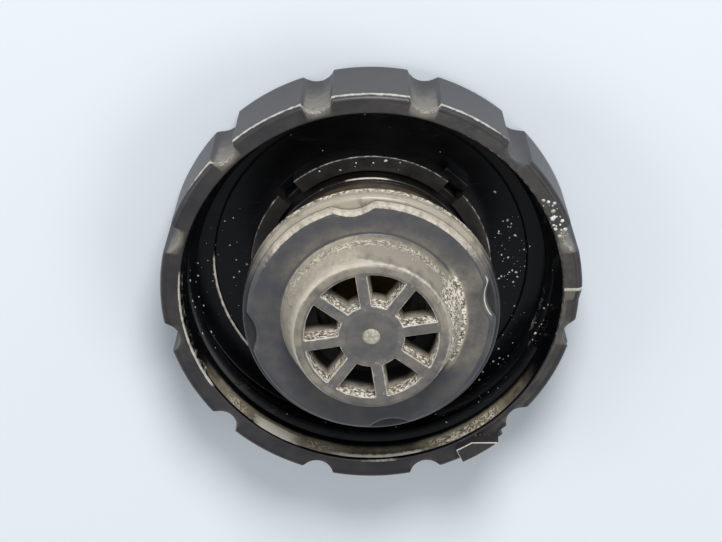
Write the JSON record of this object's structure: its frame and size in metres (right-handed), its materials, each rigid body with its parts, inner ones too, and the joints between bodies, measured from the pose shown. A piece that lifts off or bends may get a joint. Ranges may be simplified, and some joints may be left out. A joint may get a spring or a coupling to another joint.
{
  "type": "expansion tank cap",
  "caption": "Round screw cap for a coolant expansion tank: grooved skirt, internal thread and stop lug, with a swivelling sealing plug that holds a pressure and a vacuum valve.",
  "frame": {"origin": "middle of the closed face, on which the cap stands", "axes": "+Z along the thread axis, out of the mouth towards the tank; the stop lug is at the front right, at about -60 degrees from +X"},
  "size_m": [0.0698, 0.0698, 0.0354],
  "materials": {
    "cap_plastic": "black glass-filled plastic with a fine moulded grain, rubbed paler along the rim",
    "plug_plastic": "dark grey plastic, dulled by coolant, with pale granular deposits",
    "seal_rubber": "black rubber, slightly glossy",
    "spring_steel": "drawn and pressed stainless steel",
    "stem_brass": "turned brass"
  },
  "bodies": {
    "cap": {"grip_cap": "cap_plastic", "snap_collar": "cap_plastic"},
    "plug": {"plug_body": "plug_plastic", "plug_front": "plug_plastic", "neck_seal": "seal_rubber", "spring_cup": "spring_steel", "pressure_spring": "spring_steel"},
    "pressure_valve": {"pressure_plate": "plug_plastic", "pressure_seal": "seal_rubber", "vacuum_spring": "spring_steel"},
    "vacuum_valve": {"vacuum_stem": "stem_brass", "vacuum_seal": "seal_rubber", "vacuum_clip": "spring_steel"}
  },
  "joints": [
    {"name": "plug_swivel", "type": "hinge", "parent": "cap", "child": "plug", "pos_m": [0, 0, 0], "axis": [0, 0, 1], "continuous": true},
    {"name": "pressure_lift", "type": "slide", "parent": "plug", "child": "pressure_valve", "axis": [0, 0, -1], "range_m": [0, 0.0025], "stiffness_N_per_m": 300, "springref_m": -0.0002, "deforming": ["pressure_spring"]},
    {"name": "vacuum_lift", "type": "slide", "parent": "pressure_valve", "child": "vacuum_valve", "axis": [0, 0, 1], "range_m": [0, 0.0012], "stiffness_N_per_m": 60, "deforming": ["vacuum_spring"]}
  ]
}
